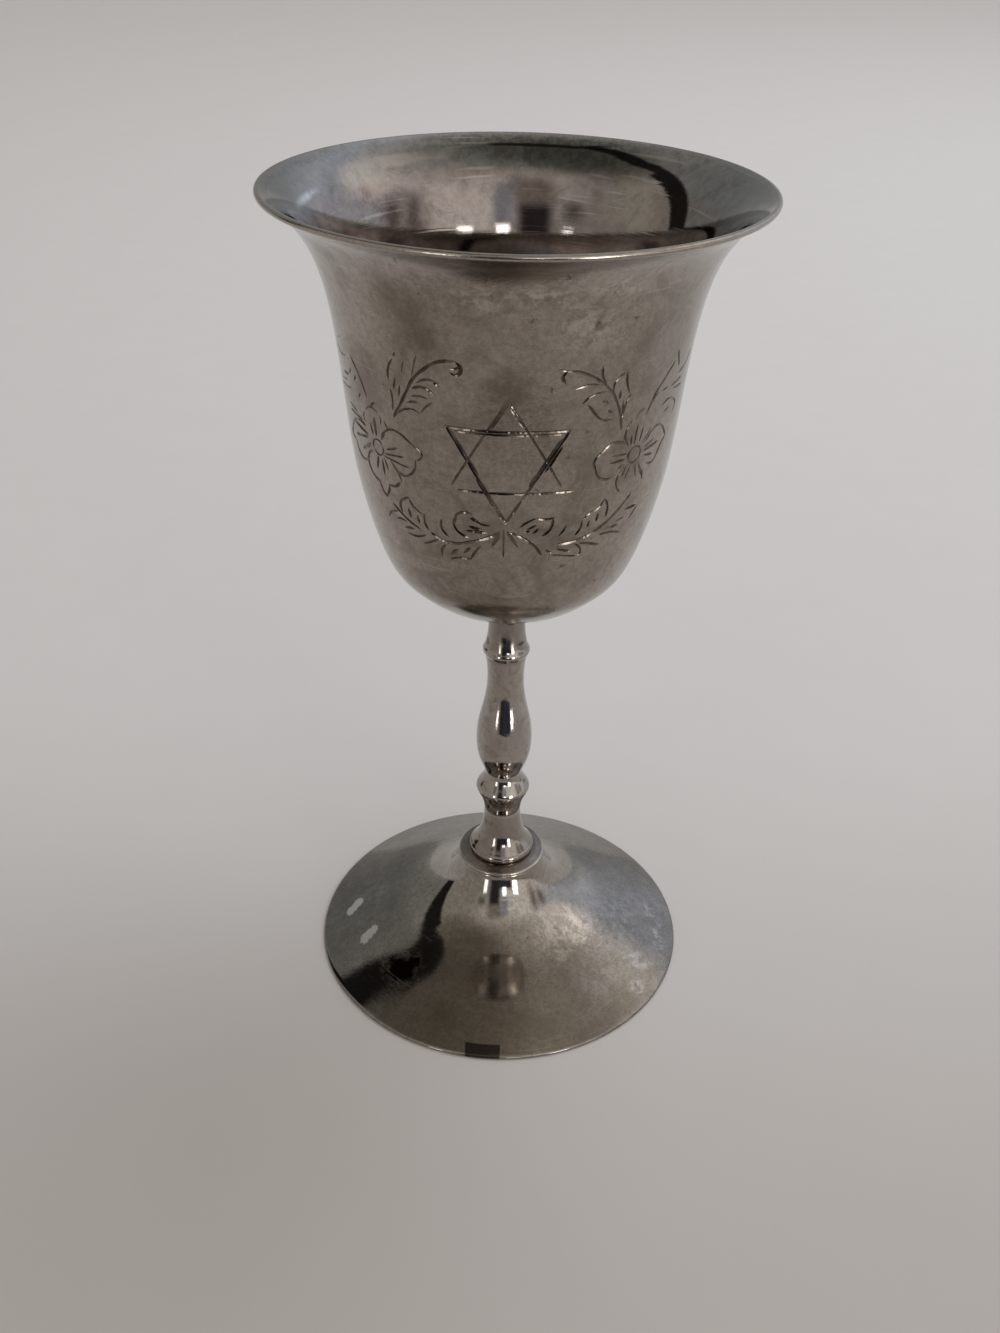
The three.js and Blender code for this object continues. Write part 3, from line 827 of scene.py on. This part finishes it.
class Metal:
    """A plated surface under construction. Every layer lies over the ones before it."""

    def __init__(self, name, colour, roughness):
        self.material = bpy.data.materials.new(name)
        self.material.use_nodes = True
        self.tree = self.material.node_tree
        self.tree.nodes.clear()
        self.position = add_node(self.tree, "TexCoord").outputs["Object"]
        self.across, _, self.up = add_node(self.tree, "SeparateXYZ", {"Vector": self.position}).outputs
        flat = add_node(self.tree, "SeparateXYZ", {"Vector": unrolled(self.tree, self.position)})
        self.from_axis = flat.outputs[2]
        self.colour = colour
        self.roughness = roughness

    def effect(self, group, **values):
        sockets = {"Position": self.position, **values}
        return add_node(self.tree, "Group", sockets, node_tree=group).outputs[0]

    def clouds(self, size):
        return self.effect(CLOUDS, Size=size)

    def mottle(self, size):
        return self.effect(MOTTLE, Size=size)

    def spots(self, share):
        return self.effect(SPOTS, Share=share)

    def scratches(self, share):
        return self.effect(SCRATCHES, Share=share)

    def lines(self, spacing):
        return self.effect(SPINNING, Spacing=spacing)

    def smears(self, size):
        return self.effect(SMEARS, Size=size)

    def marks(self, ragged, soft, *places):
        """Marks of one kind. Each place is a centre and three half sizes, in millimetres."""
        total = 0.0
        for centre, size in places:
            mark = self.effect(
                MARK, Centre=Vector(centre) * MM, Size=Vector(size) * MM, Ragged=ragged, Soft=soft
            )
            total = math_node(self.tree, "MAXIMUM", total, mark)
        return total

    def between(self, value, low, high, soft):
        rise = ramp(self.tree, value, (low - soft) * MM, (low + soft) * MM)
        fall = ramp(self.tree, value, (high + soft) * MM, (high - soft) * MM)
        return times(self.tree, rise, fall)

    def band(self, low, high, soft):
        """1 between two heights, in millimetres."""
        return self.between(self.up, low, high, soft)

    def zone(self, low, high, soft):
        """1 between two distances from the axis, in millimetres."""
        return self.between(self.from_axis, low, high, soft)

    def both(self, first, second):
        return times(self.tree, first, second)

    def tint(self, mask, strength, colour):
        self.colour = blend_colour(self.tree, times(self.tree, mask, strength), self.colour, colour)

    def total(self, value, layers):
        """A value with masks added to it, each multiplied by its amount."""
        for mask, amount in layers:
            value = plus(self.tree, value, times(self.tree, mask, amount))
        return value

    def finish(self, dulled=(), embossed=()):
        """dulled adds to the roughness and embossed to the bump, in thousandths of a millimetre."""
        shader = add_node(self.tree, "BsdfPrincipled", {
            "Base Color": self.colour, "Metallic": 1.0, "Roughness": self.total(self.roughness, dulled),
        })
        height = self.total(0.0, embossed)
        bump = add_node(self.tree, "Bump", {"Strength": 1.0, "Distance": MM / 1000, "Height": height})
        self.tree.links.new(bump.outputs["Normal"], shader.inputs["Normal"])
        output = add_node(self.tree, "OutputMaterial")
        self.tree.links.new(shader.outputs["BSDF"], output.inputs["Surface"])
        return self.material


# Reflected shares of red, green and blue light.
# bright plate, used for the worn lips and for the painted highlight on the collar's edge
BRIGHT_PLATE_AND_HIGHLIGHT = (0.6, 0.56, 0.5)
WORN_PLATE = (0.48, 0.47, 0.46)
BROWN_TARNISH = (0.17, 0.135, 0.105)
BLACK_TARNISH = (0.05, 0.042, 0.035)
WHITE_RESIDUE = (0.93, 0.91, 0.9)


def bowl_outside_metal():
    metal = Metal("tarnished_bowl_plate", (0.325, 0.285, 0.245), 0.09)
    metal.tint(metal.clouds(14.0), 0.7, (0.385, 0.34, 0.295))
    mottle = metal.mottle(4.0)
    grain = metal.mottle(0.9)
    metal.tint(mottle, 0.5, (0.43, 0.385, 0.34))
    metal.tint(grain, 0.5, (0.2, 0.168, 0.138))
    metal.tint(metal.mottle(0.35), 0.35, (0.46, 0.415, 0.37))
    metal.tint(metal.smears(9.0), 0.5, (0.19, 0.16, 0.13))
    # pale worn patches under the lip
    pale = metal.marks(
        1.6, 0.9, ((-4, -28, 127.5), (7, 6, 3.5)), ((4, -29, 128), (9, 6, 4)), ((10, -25, 123), (7, 6, 6)),
        ((13, -26, 129), (6, 5, 3)),
    )
    metal.tint(metal.both(pale, metal.mottle(1.7)), 0.8, (0.56, 0.515, 0.465))
    # brown marks under the lip, and brown stains on the upper left, over the star's point and low on the
    # sides
    brown = metal.marks(
        1.7, 0.9,
        ((-2, -32, 131.8), (11, 4, 2.4)), ((-12, -24, 123), (6, 6, 9)), ((0, -25.5, 115), (5, 4, 5)),
        ((-24, -18, 130.4), (4, 5, 2.6)), ((20.6, -25, 133), (6, 5, 1.8)), ((-6, -22, 80.5), (14, 8, 3)),
        ((9, -24, 93), (9, 6, 3.5)), ((-20, -16, 112), (5, 6, 8)), ((17, -20, 104), (4, 6, 7)),
        ((-14, -23, 126), (6, 6, 5)),
    )
    metal.tint(brown, 0.62, (0.15, 0.118, 0.09))
    # a broad darkening on the right
    metal.tint(metal.marks(0.6, 0.95, ((24, -14, 117), (15, 15, 22))), 0.4, (0.19, 0.165, 0.145))
    metal.tint(metal.spots(0.5), 0.6, BLACK_TARNISH)
    scratches = metal.scratches(0.8)
    metal.tint(scratches, 0.35, (0.56, 0.52, 0.47))
    metal.tint(metal.band(LIP_TOP - 0.6, LIP_TOP + 1, 0.25), 0.25, BRIGHT_PLATE_AND_HIGHLIGHT)
    return metal.finish(
        dulled=[(mottle, 0.05), (pale, 0.05)],
        embossed=[(mottle, 5.0), (grain, 3.5), (metal.lines(0.35), 1.5), (scratches, -4.0)],
    )


def cut_metal():
    """The engraver's cuts, blackened in their depths."""
    metal = Metal("blackened_cut", (0.075, 0.06, 0.048), 0.12)
    metal.tint(metal.clouds(3.0), 0.7, (0.2, 0.172, 0.145))
    return metal.finish(dulled=[(metal.mottle(0.6), 0.08)], embossed=[(metal.lines(0.2), 2.0)])


def bowl_inside_metal():
    metal = Metal("tarnished_bowl_inside", (0.28, 0.272, 0.262), 0.035)
    metal.tint(metal.clouds(8.0), 0.6, (0.35, 0.335, 0.315))
    # a dark greenish band round the back and right of the flare
    metal.tint(metal.marks(0.5, 0.7, ((5, 31, 133), (34, 9, 4))), 0.9, (0.1, 0.123, 0.118))
    # the warmer wall below the flare: browner on the left, paler on the right
    metal.tint(metal.band(90, 130.5, 1.2), 0.7, (0.29, 0.232, 0.205))
    metal.tint(metal.marks(1.0, 0.6, ((17, 22, 128), (6, 6, 6))), 0.6, (0.42, 0.4, 0.34))
    metal.tint(metal.marks(1.6, 0.8, ((-19, 19, 125), (9, 8, 6))), 0.7, (0.15, 0.115, 0.105))
    # painted highlight: a bright bluish streak low on the left of the flare
    painted_highlight_streak = metal.marks(0.6, 0.9, ((-29.5, 3.5, 131.3), (4, 7, 4)))
    metal.tint(metal.both(painted_highlight_streak, metal.band(131, 131.7, 0.35)), 0.8, (0.8, 0.83, 0.88))
    smears = metal.smears(5.0)
    metal.tint(smears, 0.45, (0.15, 0.13, 0.117))
    mottle = metal.mottle(1.8)
    metal.tint(metal.both(mottle, metal.band(84, 133.8, 1.0)), 0.22, WORN_PLATE)
    # worn pale along the lip
    lip_wear = metal.both(metal.band(133.6, LIP_TOP + 1, 0.5), metal.mottle(1.1))
    metal.tint(lip_wear, 0.45, (0.42, 0.42, 0.4))
    scratches = metal.scratches(1.1)
    metal.tint(scratches, 0.4, (0.55, 0.54, 0.52))
    scar = metal.both(metal.marks(0.5, 0.3, ((3, 33, 133), (11, 4, 3))), metal.band(133.45, 133.8, 0.1))
    metal.tint(scar, 0.9, (0.02, 0.018, 0.016))
    metal.tint(metal.band(LIP_TOP - 0.3, LIP_TOP + 1, 0.2), 0.25, BRIGHT_PLATE_AND_HIGHLIGHT)
    return metal.finish(
        dulled=[(smears, 0.04)],
        embossed=[(metal.lines(0.16), 1.6), (metal.lines(0.9), 5.0), (mottle, 1.0), (scratches, -3.0)],
    )


def stem_metal():
    metal = Metal("cast_stem_plate", (0.41, 0.38, 0.347), 0.03)
    metal.tint(metal.clouds(6.0), 0.6, (0.48, 0.45, 0.41))
    metal.tint(metal.smears(3.0), 0.5, (0.24, 0.205, 0.17))
    metal.tint(metal.mottle(0.7), 0.2, (0.22, 0.19, 0.16))
    # darker bands round the stem: over the bead and the bell, under the knop and the baluster, below the
    # ring and along the neck
    for low, high in ((COLLAR_TOP, 28), (30.4, 32.6), (38.2, 41), (60, 60.9), (62.3, 71)):
        metal.tint(metal.band(low, high, 0.4), 0.4, (0.19, 0.158, 0.13))
    neck = metal.marks(
        1.2, 0.5, ((0.7, -3, 68), (0.9, 1, 0.8)), ((-0.4, -3.1, 64.6), (0.6, 1, 0.7)),
        ((-3.2, -1, 63.4), (0.8, 1, 0.9)), ((1.6, -2.6, 69.6), (1.5, 1, 0.5)),
        ((2.4, -2.1, 63.6), (0.9, 1, 0.4)),
    )
    metal.tint(neck, 0.75, BLACK_TARNISH)
    metal.tint(metal.spots(0.6), 0.6, BLACK_TARNISH)
    return metal.finish(
        dulled=[(metal.band(63, 71, 0.5), 0.15)],
        embossed=[(metal.mottle(0.9), 1.0), (metal.clouds(2.4), 8.0)],
    )


def collar_metal():
    metal = Metal("dull_collar_plate", (0.24, 0.215, 0.19), 0.12)
    metal.tint(metal.clouds(2.5), 0.6, (0.36, 0.34, 0.32))
    metal.tint(metal.mottle(0.8), 0.4, BROWN_TARNISH)
    # painted highlight: the rounded outer edge made brighter
    metal.tint(metal.zone(7.35, 9, 0.15), 0.6, BRIGHT_PLATE_AND_HIGHLIGHT)
    metal.tint(metal.zone(0, 6.3, 0.25), 0.6, BROWN_TARNISH)
    return metal.finish(
        dulled=[(metal.mottle(1.2), 0.1)],
        embossed=[(metal.lines(0.2), 6.0), (metal.clouds(2.5), 14.0)],
    )


def foot_metal():
    metal = Metal("clouded_foot_plate", (0.37, 0.335, 0.292), 0.03)
    metal.tint(metal.clouds(9.0), 0.6, (0.45, 0.415, 0.365))
    # the skirt is darker, but for its front
    front = metal.marks(0.5, 0.9, ((0, -28, 2), (26, 20, 12)))
    skirt = metal.zone(18, 40, 2.5)
    metal.tint(skirt, 0.8, (0.165, 0.157, 0.148))
    metal.tint(metal.both(front, skirt), 0.85, (0.345, 0.308, 0.25))
    mottle = metal.mottle(3.0)
    grain = metal.mottle(0.8)
    metal.tint(mottle, 0.3, (0.42, 0.395, 0.36))
    metal.tint(grain, 0.5, (0.18, 0.163, 0.14))
    metal.tint(metal.mottle(0.35), 0.3, (0.45, 0.42, 0.38))
    metal.tint(metal.smears(7.0), 0.35, (0.2, 0.185, 0.16))
    # pale patches on the right and a little on the left: worn plate, and on the right also painted light
    worn_and_painted_light = metal.marks(
        1.5, 0.95, ((20, -3, 5), (12, 15, 9)), ((-22, 2, 4), (6, 6, 5)), ((18, -17, 4), (8, 7, 5))
    )
    metal.tint(metal.both(worn_and_painted_light, metal.mottle(1.3)), 0.55, (0.42, 0.41, 0.405))
    # painted highlight: bright patches at the right of the sweep
    painted_highlight_patches = metal.marks(1.6, 0.95, ((9.5, -12, 9), (7, 7, 7)), ((14, -8, 8), (6, 7, 5)))
    metal.tint(metal.both(painted_highlight_patches, metal.mottle(2.0)), 0.85, (0.66, 0.61, 0.565))
    # olive stains in the front of the skirt
    olive = metal.marks(
        1.2, 0.9, ((-9, -26.5, 3), (5, 4, 3)), ((8, -27, 3), (9, 4, 3)), ((23, -20, 3), (5, 5, 3))
    )
    metal.tint(olive, 0.55, (0.2, 0.19, 0.14))
    # whitish residue: two wiped dabs on the left, crumbs on the right
    dabs = metal.marks(
        1.0, 0.3, ((-27.8, -1.3, 2.8), (1.0, 1.4, 2)), ((-27.2, -0.6, 3.1), (0.9, 1.4, 2)),
        ((-26.6, 0.3, 3.4), (1.1, 1.4, 2)), ((-24.1, -9.3, 3.8), (1.1, 1.4, 2)),
        ((-23.4, -8.6, 4.2), (1.0, 1.3, 2)), ((-22.7, -7.9, 4.5), (0.9, 1.2, 2)),
    )
    metal.tint(dabs, 0.75, WHITE_RESIDUE)
    crumbs = metal.marks(
        1.6, 0.9, ((28.1, 2.4, 2.7), (1.8, 2.6, 2)), ((29.6, -3.5, 2), (1.6, 5, 2)),
        ((25.5, -11, 3), (5, 2.4, 2)), ((25.3, -16.6, 2), (2.6, 2.4, 2)),
    )
    metal.tint(metal.both(crumbs, metal.mottle(1.5)), 0.45, (0.68, 0.66, 0.65))
    # a black scorch at the left of the front
    scorch = metal.marks(1.5, 0.5, ((-16.6, -17.2, 4.8), (5, 3.7, 3)))
    metal.tint(scorch, 1.0, (0.007, 0.004, 0.003))
    # painted reflection: a dark patch with straight sides on the front edge
    painted_dark_reflection = metal.both(metal.between(metal.across, -4.6, 1.3, 0.12), metal.zone(30.9, 40, 0.12))
    painted_dark_reflection = metal.both(painted_dark_reflection, metal.marks(0.0, 0.1, ((-1.6, -32, 1), (6, 6, 6))))
    metal.tint(painted_dark_reflection, 0.85, (0.035, 0.026, 0.024))
    metal.tint(metal.spots(0.45), 0.5, BLACK_TARNISH)
    scratches = metal.scratches(0.8)
    metal.tint(scratches, 0.3, (0.6, 0.58, 0.55))
    return metal.finish(
        dulled=[(worn_and_painted_light, 0.06), (dabs, 0.4), (crumbs, 0.2), (scorch, 0.2)],
        embossed=[
            (metal.both(scorch, metal.mottle(1.2)), 14.0), (mottle, 1.5), (grain, 0.8),
            (metal.lines(0.3), 0.8), (scratches, -2.0),
        ],
    )


def foot_inside_metal():
    """The hollow under the foot, never polished."""
    metal = Metal("bare_foot_inside", (0.25, 0.205, 0.155), 0.38)
    metal.tint(metal.clouds(7.0), 0.8, (0.4, 0.34, 0.25))
    metal.tint(metal.smears(5.0), 0.4, (0.12, 0.1, 0.08))
    return metal.finish(dulled=[(metal.mottle(1.5), 0.15)], embossed=[(metal.lines(0.6), 20.0)])


# ---- setting ----

FLOOR_REACH = 5000
REFLECTED_FRONT = -150  # reflections see past the floor in front of this
FLOOR_BLEND = 90  # the floor's colour changes over this far each way
# painted shade and light on the floor: its colour is darker in front and lighter at the back
FLOOR_SHADED_FRONT_COLOUR = (0.655, 0.615, 0.58)
FLOOR_LIT_BACK_COLOUR = (0.865, 0.84, 0.825)
BACKDROP = (0.53, 0.55, 0.57)


def floor_material():
    """A matt pale material with painted shade, darker in front and lighter at the back, with a faint
    unevenness.
    """
    material = bpy.data.materials.new("pale_floor")
    material.use_nodes = True
    tree = material.node_tree
    shader = tree.nodes["Principled BSDF"]
    position = add_node(tree, "TexCoord").outputs["Object"]
    depth = add_node(tree, "SeparateXYZ", {"Vector": position}).outputs[1]
    # painted shade: the colour fades from the darker front to the lighter back
    painted_shade_fade = ramp(tree, depth, -FLOOR_BLEND * MM, FLOOR_BLEND * MM)
    colour = blend_colour(tree, painted_shade_fade, FLOOR_SHADED_FRONT_COLOUR, FLOOR_LIT_BACK_COLOUR)
    uneven = times(tree, noise(tree, position, 60.0, 4.0), 0.06)
    tree.links.new(blend_colour(tree, uneven, colour, (0.3, 0.3, 0.3)), shader.inputs["Base Color"])
    shader.inputs["Roughness"].default_value = 0.75
    return material


def make_floor():
    """The floor. Its front part is left out of reflections, where a room shows instead."""
    material = floor_material()
    half = FLOOR_REACH
    for name, near, far in (("floor", REFLECTED_FRONT, half), ("front_floor", -half, REFLECTED_FRONT)):
        corners = [(-half, near, 0), (half, near, 0), (half, far, 0), (-half, far, 0)]
        floor = mesh_piece(name, corners, [(0, 1, 2, 3)], [material])
        if name == "front_floor":
            floor.visible_glossy = False
            floor.visible_shadow = False


# What the metal reflects. Azimuths are counted from the front towards +X, in degrees.

ROOM_BASE = (0.41, 0.39, 0.36)
# Light that grows towards an azimuth and elevation: the cosines from it at which it starts and is
# full, and its radiance.
GLOWS = [
    (60, 25, -0.2, 0.85, (1.0, 0.96, 0.93)),
    (135, 25, 0.45, 0.95, (0.64, 0.68, 0.77)),
    (106, 46, 0.88, 0.995, (1.15, 1.09, 1.03)),
    (-155, 10, 0.5, 0.97, (0.27, 0.275, 0.27)),
    (60, 80, 0.68, 0.98, (0.46, 0.415, 0.37)),
    (-80, 72, 0.8, 1.0, (0.17, 0.15, 0.125)),
]
# Panels: azimuths, elevations, the softness of the edges and the radiance.
PANELS = [
    ((-180, 180), (-95, -9), 5, (0.405, 0.377, 0.35)),  # the floor, further out
    ((-185, -118), (-95, 5), 8, (0.34, 0.325, 0.31)),
    ((118, 185), (-95, 5), 8, (0.42, 0.42, 0.42)),
    ((80, 91), (6, 26), 7, (0.24, 0.19, 0.175)),  # dark furniture
    ((64, 76), (4, 33), 9, (0.24, 0.19, 0.175)),
    ((-41, -29), (18, 29), 5, (0.19, 0.17, 0.155)),
    ((-24, 8), (26, 50), 9, (0.31, 0.275, 0.245)),  # somebody standing in front
    ((-22, 2), (-30, 29), 6, (0.045, 0.038, 0.04)),
    ((-3, 27), (-30, 10), 2, (0.05, 0.055, 0.08)),
    ((4, 17), (15, 44), 4, (0.42, 0.44, 0.51)),  # windows and their curtains
    ((30.5, 40), (-12, 13.5), 1, (9.0, 8.9, 8.8)),
    ((6.5, 14.5), (9, 15.5), 1, (6.0, 6.0, 6.1)),
    ((-35, -28.5), (-12, 13), 1, (4.6, 4.7, 4.8)),
]
# A tall black lamp on the left, as bars between two directions with their half widths.
LAMP_BARS = [
    ((-112, -6), (-108, 50), 6.6),
    ((-113, 46), (-104, 61.5), 4.0),
    ((-116, 50), (-107, 57.5), 4.1),
    ((-104, 59), (-108.5, 66), 2.2),
    ((-108, 57), (-140, 72), 4.3),
]
LAMP_BLACK = (0.022, 0.02, 0.018)


def direction_of(azimuth, elevation):
    """The unit vector towards an azimuth from the front and an elevation, in degrees."""
    turn, up = math.radians(azimuth), math.radians(elevation)
    return Vector((math.cos(up) * math.sin(turn), -math.cos(up) * math.cos(turn), math.sin(up)))


def radians_about(limit, soft):
    """The end and the start, in radians, of a fade about a limit given in degrees."""
    return math.radians(limit + soft), math.radians(limit - soft)


def make_room():
    """A room that only the metal and the floor see, brightest on the right."""
    world = bpy.data.worlds.new("room")
    bpy.context.scene.world = world
    world.use_nodes = True
    tree = world.node_tree
    direction = add_node(tree, "TexCoord").outputs["Generated"]
    parts = add_node(tree, "SeparateXYZ", {"Vector": direction}).outputs
    degree = 180 / math.pi
    azimuth = times(tree, math_node(tree, "ARCTAN2", parts[0], times(tree, parts[1], -1.0)), degree)
    elevation = times(tree, math_node(tree, "ARCSINE", parts[2]), degree)

    def along(vector):
        """How far each direction goes along a vector."""
        sockets = {0: direction, 1: tuple(vector)}
        return add_node(tree, "VectorMath", sockets, operation="DOT_PRODUCT").outputs["Value"]

    def between(value, span, soft):
        rise = ramp(tree, value, span[0] - soft, span[0] + soft)
        return times(tree, rise, ramp(tree, value, span[1] + soft, span[1] - soft))

    def bar(start, end, half_width, soft=1.0):
        start, end = direction_of(*start), direction_of(*end)
        middle = (start + end).normalized()
        across = math_node(tree, "ARCSINE", along(start.cross(end).normalized()))
        within = ramp(tree, math_node(tree, "ABSOLUTE", across), *radians_about(half_width, soft))
        half_length = math.degrees(middle.angle(start))
        away = math_node(tree, "ARCCOSINE", along(middle))
        return times(tree, within, ramp(tree, away, *radians_about(half_length, soft)))

    colour = ROOM_BASE
    for azimuth_to, elevation_to, start, full, radiance in GLOWS:
        near = ramp(tree, along(direction_of(azimuth_to, elevation_to)), start, full)
        colour = blend_colour(tree, near, colour, radiance)
    for azimuths, elevations, soft, radiance in PANELS:
        mask = times(tree, between(azimuth, azimuths, soft), between(elevation, elevations, soft))
        colour = blend_colour(tree, mask, colour, radiance)
    for start, end, half_width in LAMP_BARS:
        colour = blend_colour(tree, bar(start, end, half_width), colour, LAMP_BLACK)
    seen = add_node(tree, "LightPath").outputs["Is Camera Ray"]
    colour = blend_colour(tree, seen, colour, BACKDROP)
    tree.links.new(colour, tree.nodes["Background"].inputs["Color"])


SOFTBOX_PLACE = (500, 500, 1100)
SOFTBOX_SIZE = 900
SOFTBOX_RADIANCE = 1.7
SOFTBOX_COLOUR = (0.9, 0.97, 1.05)


def make_softbox():
    """A big soft light over the floor that shows in no reflection."""
    light = bpy.data.lights.new("overhead_softbox", "AREA")
    light.size = SOFTBOX_SIZE * MM
    light.energy = SOFTBOX_RADIANCE * math.pi * light.size ** 2
    light.color = SOFTBOX_COLOUR
    piece = bpy.data.objects.new("overhead_softbox", light)
    piece.location = Vector(SOFTBOX_PLACE) * MM
    piece.visible_glossy = False
    piece.visible_camera = False
    bpy.context.scene.collection.objects.link(piece)


CAMERA_AIM = (-0.97, 0.0, 57.7)
CAMERA_DISTANCE = 220.4
CAMERA_AZIMUTH = 1.5
CAMERA_ELEVATION = 32.55
CAMERA_ROLL = 1.3
CAMERA_LENS = 35.84


def make_camera():
    data = bpy.data.cameras.new("camera")
    data.sensor_width = 36.0
    data.lens = CAMERA_LENS
    data.clip_start = 0.01
    camera = bpy.data.objects.new("camera", data)
    place = Vector(CAMERA_AIM) + direction_of(CAMERA_AZIMUTH, CAMERA_ELEVATION) * CAMERA_DISTANCE
    tilt, turn, roll = np.radians([90 - CAMERA_ELEVATION, CAMERA_AZIMUTH, CAMERA_ROLL])
    facing = Euler((tilt, 0, turn)).to_matrix() @ Matrix.Rotation(roll, 3, "Z")
    camera.matrix_world = Matrix.Translation(place * MM) @ facing.to_4x4()
    bpy.context.scene.collection.objects.link(camera)
    bpy.context.scene.camera = camera


# ---- assembly ----

make_camera()
make_room()
make_floor()
make_softbox()
bpy.context.scene.view_settings.view_transform = "Standard"

bowl = make_bowl(bowl_outside_metal(), cut_metal(), bowl_inside_metal())
stem = make_stem(stem_metal())
collar = make_collar(collar_metal())
foot = make_foot(foot_metal(), foot_inside_metal())

for piece, node in ((bowl, "bowl"), (stem, "stem"), (collar, "collar"), (foot, "foot")):
    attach(piece, "root")
    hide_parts(node)
